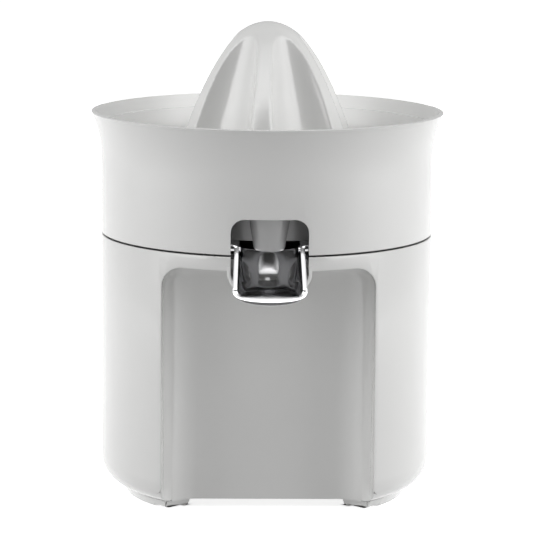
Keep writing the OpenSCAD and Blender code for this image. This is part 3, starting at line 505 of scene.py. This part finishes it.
class PRESS_OT_housing(Operator):
    """Moulded lower housing: round shell, recess for the glass and collar of the spout"""
    bl_idname = "press.housing"
    bl_label = "Housing"

    def execute(self, context):
        s = sizes()
        r, wall, corner = s.body_radius, s.wall, s.foot_corner
        low, high = HOUSE_LOW.z, HOUSE_HIGH.z
        mid = r - corner
        base = s.base_radius
        drop = lambda rad: math.sqrt(rad * rad - (base - mid) ** 2)
        start = math.degrees(math.atan2(-drop(corner), base - mid))
        lip = 0.35 * MM
        outer = arc(mid, low + corner, corner, start, 0, 14) + arc(r - lip, high - lip, lip, 0, 90, 3)
        start_in = math.degrees(math.atan2(-drop(corner - wall), base - mid))
        rebate = [(r - 0.9 * MM, high), (r - 0.9 * MM, high - 1.2 * MM), (r - wall, high - 1.2 * MM)]
        inner = rebate + arc(mid, low + corner, corner - wall, 0, start_in, 10)
        shell = lathe("housing_shell", outer + inner)

        wide, back, top = s.recess_half, s.recess_back, s.recess_top
        grow = s.recess_wall
        solid = [(0.0, low)] + [(mid, low)] + arc(mid, low + corner, corner - 0.02 * MM, -90, 0, 14)
        liner = glass_space("recess_liner", wide + grow, back - grow, top + grow, s.recess_fillet + grow)
        pot = lathe("pot", solid + [(r - 0.02 * MM, high - 1 * MM), (0.0, high - 1 * MM)])
        combine(liner, pot, "INTERSECT")
        combine(shell, liner, "UNION")
        space = glass_space("recess_space", wide, back, top, s.recess_fillet)
        combine(shell, space, "DIFFERENCE")

        w, t, bottom = s.window_half, s.collar_wall, s.collar_low
        collar = prism("collar", self.cup(w + t, bottom, high - 3.9 * MM, s.collar_corner),
                       AXIS_Y - r - 0.004, AXIS_Y - s.collar_depth)
        drum = lathe("drum", [(0.0, 0.09), (r + 0.5 * MM, 0.09), (r + 0.5 * MM, 0.13), (0.0, 0.13)])
        combine(collar, drum, "INTERSECT")
        combine(shell, collar, "UNION")
        mouth = prism("mouth", self.cup(w, bottom + t, high + 0.002, s.collar_corner - 1 * MM),
                      AXIS_Y - r - 0.006, AXIS_Y - s.collar_depth - t)
        combine(shell, mouth, "DIFFERENCE")

        deselect_everything()
        bpy.ops.mesh.primitive_cylinder_add(vertices=48, radius=5.1 * MM, depth=0.02,
                                            location=(0, AXIS_Y + r, low + 16.5 * MM),
                                            rotation=(math.pi / 2, 0, 0))
        bore = bpy.context.object
        bpy.ops.object.transform_apply(location=True, rotation=True, scale=True)
        combine(shell, bore, "DIFFERENCE")

        def on_skin(v):
            out = axial(v)
            if v.z > low + corner:
                return abs(out - r) < 0.03 * MM
            return abs(math.hypot(out - mid, v.z - low - corner) - corner) < 0.03 * MM
        in_recess = lambda v: (v.y < AXIS_Y - 0.03 and abs(v.x) < wide + 0.5 * MM
                               and low < v.z < top + 0.3 * MM)
        round_edges(shell, lambda v: on_skin(v) and in_recess(v), s.edge_round)
        on_collar = lambda v: (axial(v) > r + 0.47 * MM and v.z < high - 4 * MM
                               and abs(v.x) < w + t + 0.3 * MM)
        round_edges(shell, on_collar, 0.35 * MM, 2)
        finish_piece(shell, "base", "lower_housing", "glossy_moulding")
        return {"FINISHED"}

    def cup(self, w, z0, z1, r):
        """U outline, open upwards, with rounded bottom corners."""
        return ([(-w, z1)] + arc(-w + r, z0 + r, r, 180, 270, 10) + arc(w - r, z0 + r, r, 270, 360, 10)
                + [(w, z1)])


class PRESS_OT_feet(Operator):
    """Two arc-shaped feet with slanting sides, close under the round of the housing"""
    bl_idname = "press.feet"
    bl_label = "Feet"

    def execute(self, context):
        s = sizes()
        gap, high, screw_room = 0.1 * MM, 5.9 * MM, 3.1 * MM
        mid, corner, low = s.body_radius - s.foot_corner, s.foot_corner, HOUSE_LOW.z
        inner = s.base_radius - 10.8 * MM
        feet = lathe("feet", [(inner, 0.0), (s.foot_floor, 0.0), (s.foot_top, high), (inner, high)])
        grow = s.recess_wall + 0.2 * MM
        end = glass_space("foot_end", s.recess_half + grow, s.recess_back - grow, s.recess_top + grow,
                          s.recess_fillet + grow)
        combine(feet, end, "DIFFERENCE")
        under = arc(mid, low + corner, corner + gap, -90, -20, 20)
        housing = lathe("under_housing", [(0.0, low - gap)] + under + [(0.0, under[-1][1])])
        combine(feet, housing, "DIFFERENCE")
        back = block("back_gap", (-0.022, AXIS_Y + 0.03, -0.001), (0.022, AXIS_Y + 0.09, 0.01))
        combine(feet, back, "DIFFERENCE")
        ring = s.base_radius - 5.3 * MM
        front = math.acos((s.recess_half + s.recess_wall + 4.8 * MM) / ring)
        for turn in (-front, math.pi + front, math.radians(46), math.radians(134)):
            hole = lathe("screw_hole", [(0.0, -0.001), (screw_room, -0.001), (screw_room, 0.01), (0.0, 0.01)],
                         (ring * math.cos(turn), AXIS_Y + ring * math.sin(turn)), steps=32)
            combine(feet, hole, "DIFFERENCE")
        side = s.recess_half + grow + 0.05 * MM
        at_end = lambda v: v.z < 0.02 * MM and v.y < AXIS_Y - 0.0365 and abs(v.x) < side
        round_edges(feet, at_end, 2.4 * MM, 4, 0.00005)
        finish_piece(feet, "base", "foot_arcs", "glossy_moulding", 40)
        return {"FINISHED"}


class PRESS_OT_bowl(Operator):
    """Juice bowl: flared wall, floor with centre tube, skirt, window and outlet nozzle"""
    bl_idname = "press.bowl"
    bl_label = "Bowl"

    def execute(self, context):
        s = sizes()
        r, wall = s.body_radius, s.wall
        low, high = BOWL_LOW.z, BOWL_HIGH.z
        rim = (BOWL_HIGH.x - BOWL_LOW.x) / 2
        flare_z = high - s.flare_height
        out = rim - r
        sweep = (s.flare_height ** 2 + out ** 2) / (2 * out)
        end = math.degrees(math.asin(s.flare_height / sweep))
        floor = s.floor_height
        tip = 0.3 * MM
        outer = [(r - tip, low), (r, low + tip)] + arc(r + sweep, flare_z, sweep, 180, 180 - end, 16)
        outer[-1] = (rim - 0.02 * MM, high - tip)
        step_z = high - 6 * MM
        bend = lambda z, g: r + sweep - math.sqrt((sweep + g) ** 2 - (z - flare_z) ** 2)
        heights = [high - (high - step_z) * k / 4 for k in range(5)]
        inner = [(bend(high, wall - 0.8 * MM), high)]
        inner += [(bend(z, wall - 0.8 * MM), z) for z in heights[1:]]
        inner += [(bend(step_z - 0.15 * MM, wall), step_z - 0.15 * MM)]
        inner += [(bend(flare_z + (step_z - flare_z) * k / 8, wall), flare_z + (step_z - flare_z) * k / 8)
                  for k in (7, 6, 5, 4, 3, 2, 1, 0)]
        top_floor = floor + s.floor_wall
        inner += arc(r - wall - 8 * MM, top_floor + 8 * MM, 8 * MM, 0, -90, 10)
        tube_out, tube_in, tube_top = s.tube_outer, s.tube_inner, s.tube_top
        inner += [(tube_out + 1 * MM, top_floor), (tube_out + 0.3 * MM, top_floor + 0.3 * MM),
                  (tube_out, top_floor + 1 * MM), (tube_out, tube_top - 0.4 * MM), (tube_out - 0.4 * MM, tube_top),
                  (tube_in + 0.4 * MM, tube_top), (tube_in, tube_top - 0.4 * MM), (tube_in, floor)]
        skirt, skirt_in, skirt_low = s.skirt_outer, s.skirt_outer - 2.2 * MM, s.skirt_low
        under = [(skirt_in, floor), (skirt_in, skirt_low + 0.3 * MM), (skirt_in + 0.3 * MM, skirt_low),
                 (skirt - 0.3 * MM, skirt_low), (skirt, skirt_low + 0.3 * MM), (skirt, floor),
                 (r - wall, floor), (r - wall, low + 1.2 * MM), (r - 0.9 * MM, low + 1.2 * MM),
                 (r - 0.9 * MM, low)]
        bowl = lathe("bowl_shell", outer + inner + under)

        w, top, corner = s.window_half, s.window_top, s.window_corner
        arch = ([(w, low - 0.006)] + arc(w - corner, top - corner, corner, 0, 90, 10)
                + arc(-w + corner, top - corner, corner, 90, 180, 10) + [(-w, low - 0.006)])
        combine(bowl, prism("window", arch, AXIS_Y - r - 0.006, AXIS_Y - r + 0.006), "DIFFERENCE")
        for turn in (30, 90, 150):
            key = block("key_slot", (skirt_in - 8 * MM, -2.6 * MM, skirt_low - 1 * MM),
                        (skirt + 4 * MM, 2.6 * MM, floor - 4 * MM))
            key.rotation_euler = (0, 0, math.radians(turn))
            key.location = (0, AXIS_Y, 0)
            bpy.ops.object.transform_apply(location=True, rotation=True, scale=True)
            combine(bowl, key, "DIFFERENCE")

        place = (0.0, AXIS_Y - s.nozzle_reach)
        bore = s.nozzle_bore
        tip_z, root = s.nozzle_low, floor + 0.6 * MM
        nozzle = lathe("nozzle", [(bore, root), (bore, tip_z + 0.3 * MM), (bore + 0.3 * MM, tip_z)]
                       + arc(bore + 0.4 * MM, tip_z + 2 * MM, 2 * MM, -90, 0, 8)
                       + [(bore + 5.25 * MM, root)], place, 64)
        combine(bowl, nozzle, "UNION")
        hole = lathe("outlet", [(0.0, floor - 0.004), (bore, floor - 0.004), (bore, floor - 1.6 * MM),
                                (bore + 3 * MM, top_floor + 0.1 * MM), (bore + 3 * MM, top_floor + 0.003),
                                (0.0, top_floor + 0.003)], place, 64)
        combine(bowl, hole, "DIFFERENCE")

        on_window = lambda v: (abs(axial(v) - r) < 0.03 * MM and v.y < AXIS_Y - 0.05
                               and low + 0.2 * MM < v.z < top + 0.2 * MM and abs(v.x) < w + 0.2 * MM)
        round_edges(bowl, on_window, s.window_round)
        finish_piece(bowl, "bowl", "juice_bowl", "glossy_moulding")
        # Painted shade: faces below the bowl's floor and inside its wall (skirt and outlet) get the grey
        # painted-shade moulding.
        bowl.data.materials.append(bpy.data.materials["painted_shade_moulding"])
        for face in bowl.data.polygons:
            if face.center.z < floor - 0.1 * MM and axial(face.center) < r - wall - 0.1 * MM:
                face.material_index = 1
        return {"FINISHED"}


class PRESS_OT_cone(Operator):
    """Reaming cone with soft ribs between wide valleys"""
    bl_idname = "press.cone"
    bl_label = "Cone"

    def execute(self, context):
        s = sizes()
        low, high = CONE_LOW.z, CONE_HIGH.z
        tall = high - low
        foot = s.cone_foot
        side = lambda t: foot * math.sqrt(1.136 * t - 0.136 * t * t)
        shares = [(k / 40) ** 1.8 for k in range(41)]
        outline = [(side(t), high - t * tall) for t in shares]
        outline[0] = (0.0, high)
        cone = lathe("cone_shell", outline + [(0.0, low)], steps=180)
        for k in range(s.ribs):
            deselect_everything()
            long = 1.2 * tall
            bpy.ops.mesh.primitive_cone_add(vertices=96, radius1=0.589 * foot, radius2=0.194 * foot, depth=long,
                                            location=(0, 0, long / 2))
            valley = bpy.context.object
            bpy.ops.object.transform_apply(location=True, rotation=True, scale=True)
            lean = math.atan(0.902 * foot / tall)
            turn = math.radians(-90 + s.rib_turn + (k + 0.5) * 360 / s.ribs)
            valley.location = (0, AXIS_Y, 0)
            place = Vector((1.388 * foot * math.cos(turn), 1.388 * foot * math.sin(turn) + AXIS_Y,
                            low - 0.025 * tall))
            valley.rotation_euler = Euler((0, -lean, turn), "XYZ")
            valley.location = place
            bpy.ops.object.transform_apply(location=True, rotation=True, scale=True)
            combine(cone, valley, "DIFFERENCE")
        combine(cone, lathe("hub_room", [(0.0, low - 0.002), (s.hub_room, low - 0.002), (s.hub_room, s.hub_roof),
                                         (0.0, s.hub_roof)]), "DIFFERENCE")
        deselect_everything()
        bpy.ops.mesh.primitive_cylinder_add(vertices=6, radius=s.socket, depth=0.014,
                                            location=(0, AXIS_Y, s.hub_roof + 0.0045),
                                            rotation=(0, 0, math.radians(30)))
        socket = bpy.context.object
        bpy.ops.object.transform_apply(location=True, rotation=True, scale=True)
        combine(cone, socket, "DIFFERENCE")
        make_active(cone)
        solid = cone.modifiers.new("even_mesh", "REMESH")
        solid.mode = "VOXEL"
        solid.voxel_size = 0.62 * MM
        bpy.ops.object.modifier_apply(modifier=solid.name)
        soft = cone.modifiers.new("soft_ribs", "SMOOTH")
        soft.factor = 0.5
        soft.iterations = 4
        bpy.ops.object.modifier_apply(modifier=soft.name)
        finish_piece(cone, "cone", "cone", "glossy_moulding", 60)
        return {"FINISHED"}


class PRESS_OT_spout(Operator):
    """Steel trough with rolled side rims, hinge ears and a lip that turns down"""
    bl_idname = "press.spout"
    bl_label = "Spout"

    def execute(self, context):
        s = sizes()
        front, rear = s.trough_front, s.trough_rear
        stations = [rear + (front - rear) * k / 30 for k in range(31)]
        ear_0, ear_1 = s.hinge_reach - 2.5 * MM, s.hinge_reach + 2.5 * MM
        stations = sorted(stations + [ear_0 - 0.1 * MM, ear_0 + 0.1 * MM,
                                      ear_1 - 0.1 * MM, ear_1 + 0.1 * MM])
        rows = [self.section(s, y, front, rear, ear_0, ear_1) for y in stations]
        trough = start_point("spout_trough", rows[0][0])
        run_line(rows[0])
        bpy.ops.mesh.select_all(action="SELECT")
        for before, after in zip(rows, rows[1:]):
            self.extend(trough, before, after)
        bpy.ops.mesh.select_all(action="DESELECT")
        bpy.ops.object.mode_set(mode="OBJECT")
        edge_line = ([row[0] for row in rows] + rows[-1][1:-1] + [row[-1] for row in reversed(rows)])
        self.roll_rim(trough, s, edge_line, front, ear_0, ear_1)
        make_active(trough)
        bpy.ops.object.mode_set(mode="EDIT")
        tidy_mesh(0.00003)
        make_active(trough)
        sheet = trough.modifiers.new("sheet", "SOLIDIFY")
        sheet.thickness = s.sheet
        sheet.offset = -1.0 if self.faces_up(trough) else 1.0
        sheet.use_even_offset = True
        bpy.ops.object.modifier_apply(modifier=sheet.name)
        soft = trough.modifiers.new("edge", "BEVEL")
        soft.width = 0.15 * MM
        soft.segments = 2
        soft.limit_method = "ANGLE"
        soft.angle_limit = math.radians(60)
        bpy.ops.object.modifier_apply(modifier=soft.name)
        finish_piece(trough, "spout", "spout", "polished_steel", 50)
        return {"FINISHED"}

    def section(self, s, y, front, rear, ear_0, ear_1):
        """Points of one cross section from the left rim to the right rim."""
        share = (front - y) / (front - rear)
        w = s.trough_rear_half + (s.trough_front_half - s.trough_rear_half) * (1 - share)
        low = s.trough_low + 1.2 * MM * share + s.trough_rise * share ** 3
        top = s.rim_high
        if ear_0 < y < ear_1:
            top = s.ear_high - 1.6 * MM * (y - ear_0) / (ear_1 - ear_0)
        elif y >= ear_1:
            top = s.ear_high - 1.6 * MM + (s.rim_low - s.ear_high + 1.6 * MM) * (y - ear_1) / (front - ear_1)
        top = max(top, low + 0.8 * MM)
        rx = 3.0 * MM + 4.0 * MM * min(1.0, share * 2.2)
        rz = min(rx, 0.95 * (top - low))
        half = [(w, top), (w, low + rz + (top - low - rz) * 0.5)]
        half += [(w - rx + rx * math.cos(a), low + rz - rz * math.sin(a))
                 for a in [math.radians(90 * k / 8) for k in range(9)]]
        half += [((w - rx) * (1 - k / 6), low) for k in range(1, 6)]
        left = [(-x, z) for x, z in half]
        return [(x, AXIS_Y - y, z) for x, z in left + [(0.0, low)] + half[::-1]]

    def extend(self, piece, before, after):
        """Extrudes the selected row and moves each new point to its place in the next row."""
        bpy.ops.mesh.extrude_edges_move(TRANSFORM_OT_translate={"value": (0, 0, 0)})
        self.settle(piece, before, after)

    def settle(self, piece, before, after):
        bpy.ops.object.mode_set(mode="OBJECT")
        tree = KDTree(len(before))
        for k, place in enumerate(before):
            tree.insert(place, k)
        tree.balance()
        for vertex in piece.data.vertices:
            if vertex.select:
                vertex.co = after[tree.find(vertex.co)[1]]
        bpy.ops.object.mode_set(mode="EDIT")

    def roll_rim(self, piece, s, line, front, ear_0, ear_1):
        """Rolls the rim outwards along both sides and down over the front lip."""
        pick_edges(piece, lambda a, b: False)
        bpy.ops.mesh.select_mode(type="EDGE")
        bpy.ops.mesh.select_non_manifold(extend=False, use_wire=False, use_multi_face=False,
                                         use_non_contiguous=False, use_verts=False)
        bpy.ops.object.mode_set(mode="OBJECT")
        points = piece.data.vertices
        rear_y = line[0][1] - 0.01 * MM
        for edge in piece.data.edges:
            a, b = (points[k].co for k in edge.vertices)
            if edge.select and a.y > rear_y and b.y > rear_y:
                edge.select = False
        for face in piece.data.polygons:
            face.select = False
        used = {k for edge in piece.data.edges if edge.select for k in edge.vertices}
        for vertex in points:
            vertex.select = vertex.index in used
        start = [tuple(points[k].co) for k in sorted(used)]
        bpy.ops.object.mode_set(mode="EDIT")
        before = start
        for step in range(1, 6):
            turn = math.radians(84 * step / 5)
            after = [self.rolled(s, p, turn, front, ear_0, ear_1) for p in start]
            bpy.ops.mesh.extrude_edges_move(TRANSFORM_OT_translate={"value": (0, 0, 0)})
            self.settle(piece, before, after)
            before = after
        bpy.ops.object.mode_set(mode="OBJECT")

    def rolled(self, s, place, turn, front, ear_0, ear_1):
        """Place of one rim point after the sheet has turned through an angle."""
        x, y, z = place
        reach = AXIS_Y - y
        side = 1.0 if x > 0 else -1.0
        out, down = math.sin(turn), 1 - math.cos(turn)
        if reach < front - 0.01 * MM:
            if ear_0 < reach < ear_1:
                return (x + side * (s.ear_half - abs(x)) * out, y, z + 0.5 * MM * out)
            wide = s.rim_wide if reach > ear_1 else 0.4 * MM
            return (x + side * wide * out, y, z - 0.5 * MM * down)
        span = s.trough_front_half + s.rim_wide
        wide_x = x * span / s.trough_front_half
        bow = math.sqrt(max(0.0, 1 - (wide_x / span) ** 2))
        edge_z = s.rim_low - 0.5 * MM - (s.rim_low - 0.5 * MM - s.lip_low) * bow
        return (x + (wide_x - x) * out, y - s.lip_forward * bow * out, z + (edge_z - z) * down)

    def faces_up(self, piece):
        """Tells which way the trough's floor looks."""
        flat = [f.normal.z for f in piece.data.polygons
                if abs(f.center.x) < 3 * MM and f.center.y > AXIS_Y - 0.08]
        return sum(flat) > 0


class PRESS_OT_node_finishes(Operator):
    """Gives every carried-over node its finish"""
    bl_idname = "press.node_finishes"
    bl_label = "Node finishes"

    def execute(self, context):
        materials = make_materials()
        for finish, names in NODE_FINISHES.items():
            for name in names:
                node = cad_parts[name]
                node.data.materials.clear()
                node.data.materials.append(materials[finish])
        return {"FINISHED"}


class PRESS_OT_stage(Operator):
    """Floor, soft lamps, plain sky and the camera"""
    bl_idname = "press.stage"
    bl_label = "Stage"

    def execute(self, context):
        stage = context.scene.press_stage
        deselect_everything()
        bpy.ops.mesh.primitive_plane_add(size=30.0, location=(0.0, 0.0, FEET_LOW.z - 0.0002))
        floor = context.object
        floor.name = "studio_floor"
        material, tree, shader = base_material("floor_paint", tuple(finishes().floor), 0.7)
        where = node_at(tree, "ShaderNodeTexCoord", -1200, 0).outputs["Object"]
        add_tone(tree, shader, where, tuple(finishes().floor), 2.0, 0.004)
        shader.inputs["Emission Color"].default_value = (1.0, 1.0, 1.0, 1.0)
        shader.inputs["Emission Strength"].default_value = stage.floor_glow
        floor.data.materials.append(material)
        floor.visible_diffuse = False

        # What glossy surfaces see, from the front (0) over the sides (0.5) to the back (1).
        front_gloss, back_gloss = 0.05, 0.12
        side_gloss = ((0.11, front_gloss), (0.15, 1.0), (0.3, 0.7), (0.5, 0.25))
        world = bpy.data.worlds.new("studio_sky")
        world.use_nodes = True
        tree = world.node_tree
        where = node_at(tree, "ShaderNodeTexCoord", -900, 0).outputs["Generated"]
        parts = node_at(tree, "ShaderNodeSeparateXYZ", -700, 0)
        tree.links.new(where, parts.inputs["Vector"])
        spread = node_at(tree, "ShaderNodeMapRange", -500, 0, interpolation_type="SMOOTHSTEP")
        spread.inputs["From Min"].default_value = -0.95
        spread.inputs["From Max"].default_value = -0.66
        spread.inputs["To Min"].default_value = stage.front_sky
        spread.inputs["To Max"].default_value = stage.sky
        tree.links.new(parts.outputs["Y"], spread.inputs["Value"])
        panels = node_at(tree, "ShaderNodeValToRGB", -500, -300)
        stops = panels.color_ramp.elements
        stops[0].position, stops[1].position = 0.0, 1.0
        for level, stop in ((front_gloss, stops[0]), (back_gloss, stops[1])):
            stop.color = (level, level, level, 1.0)
        for position, level in side_gloss:
            stop = stops.new(position)
            stop.color = (level, level, level, 1.0)
        turned = node_at(tree, "ShaderNodeMapRange", -680, -300)
        turned.inputs["From Min"].default_value = -1.0
        turned.inputs["From Max"].default_value = 1.0
        tree.links.new(parts.outputs["Y"], turned.inputs["Value"])
        tree.links.new(turned.outputs["Result"], panels.inputs["Fac"])
        bright = node_at(tree, "ShaderNodeMath", -300, -300, operation="MULTIPLY")
        bright.inputs[1].default_value = stage.panel_light
        tree.links.new(panels.outputs["Color"], bright.inputs[0])
        ray = node_at(tree, "ShaderNodeLightPath", -500, 300)
        choice = node_at(tree, "ShaderNodeMix", -120, 0, data_type="FLOAT")
        tree.links.new(ray.outputs["Is Glossy Ray"], choice.inputs["Factor"])
        tree.links.new(spread.outputs["Result"], choice.inputs["A"])
        tree.links.new(bright.outputs["Value"], choice.inputs["B"])
        sky = tree.nodes["Background"]
        sky.inputs["Color"].default_value = (1.0, 1.0, 1.0, 1.0)
        tree.links.new(choice.outputs["Result"], sky.inputs["Strength"])
        context.scene.world = world

        for name, power, place, wide, high in (
                ("lamp_left", stage.side_light, (-1.33, -0.34, 0.62), 1.1, 1.4),
                ("lamp_right", stage.fill_light, (1.34, -0.30, 0.60), 1.1, 1.4),
                ("lamp_top", stage.top_light, (0.0, 0.15, 1.4), 1.2, 1.2)):
            deselect_everything()
            bpy.ops.object.light_add(type="AREA", location=place)
            lamp = context.object
            lamp.name = name
            lamp.data.shape = "RECTANGLE"
            lamp.data.size = wide
            lamp.data.size_y = high
            lamp.data.energy = power
            lamp.visible_glossy = False
            aim = Vector((0.0, AXIS_Y, 0.12)) - Vector(place)
            lamp.rotation_euler = aim.to_track_quat("-Z", "Y").to_euler()

        deselect_everything()
        bpy.ops.object.camera_add(location=(-0.0263, -1.32935, 0.3224))
        camera = context.object
        camera.name = "studio_camera"
        look = Vector((0.0195, 0.9865, -0.1623)).to_track_quat("-Z", "Y")
        camera.rotation_euler = look.to_euler()
        camera.rotation_euler.rotate_axis("Z", math.radians(0.44))
        camera.data.lens = stage.lens
        camera.data.sensor_width = 36.0
        camera.data.clip_end = 60.0
        context.scene.camera = camera
        context.scene.view_settings.view_transform = "Standard"
        return {"FINISHED"}


class PRESS_PT_sidebar(Panel):
    """Lists the pieces of the press"""
    bl_label = "Citrus press"
    bl_idname = "PRESS_PT_sidebar"
    bl_space_type = "VIEW_3D"
    bl_region_type = "UI"
    bl_category = "Citrus press"

    def draw(self, context):
        column = self.layout.column()
        for operator in PIECE_OPERATORS:
            column.operator(operator.bl_idname)
        for group in (context.scene.press_sizes, context.scene.press_finishes, context.scene.press_stage):
            for name in group.__annotations__:
                column.prop(group, name)


GROUPS = (PressSizes, PressFinishes, PressStage)
PIECE_OPERATORS = (PRESS_OT_node_finishes, PRESS_OT_housing, PRESS_OT_feet, PRESS_OT_bowl, PRESS_OT_cone,
                   PRESS_OT_spout, PRESS_OT_stage)


def register():
    for item in (*GROUPS, *PIECE_OPERATORS, PRESS_PT_sidebar):
        bpy.utils.register_class(item)
    bpy.types.Scene.press_sizes = PointerProperty(type=PressSizes)
    bpy.types.Scene.press_finishes = PointerProperty(type=PressFinishes)
    bpy.types.Scene.press_stage = PointerProperty(type=PressStage)


def unregister():
    del bpy.types.Scene.press_stage
    del bpy.types.Scene.press_finishes
    del bpy.types.Scene.press_sizes
    for item in reversed((*GROUPS, *PIECE_OPERATORS, PRESS_PT_sidebar)):
        bpy.utils.unregister_class(item)


def main():
    register()
    bpy.ops.press.node_finishes()
    bpy.ops.press.housing()
    bpy.ops.press.feet()
    bpy.ops.press.bowl()
    bpy.ops.press.cone()
    bpy.ops.press.spout()
    bpy.ops.press.stage()
    bpy.context.view_layer.update()


if __name__ == "__main__":
    main()
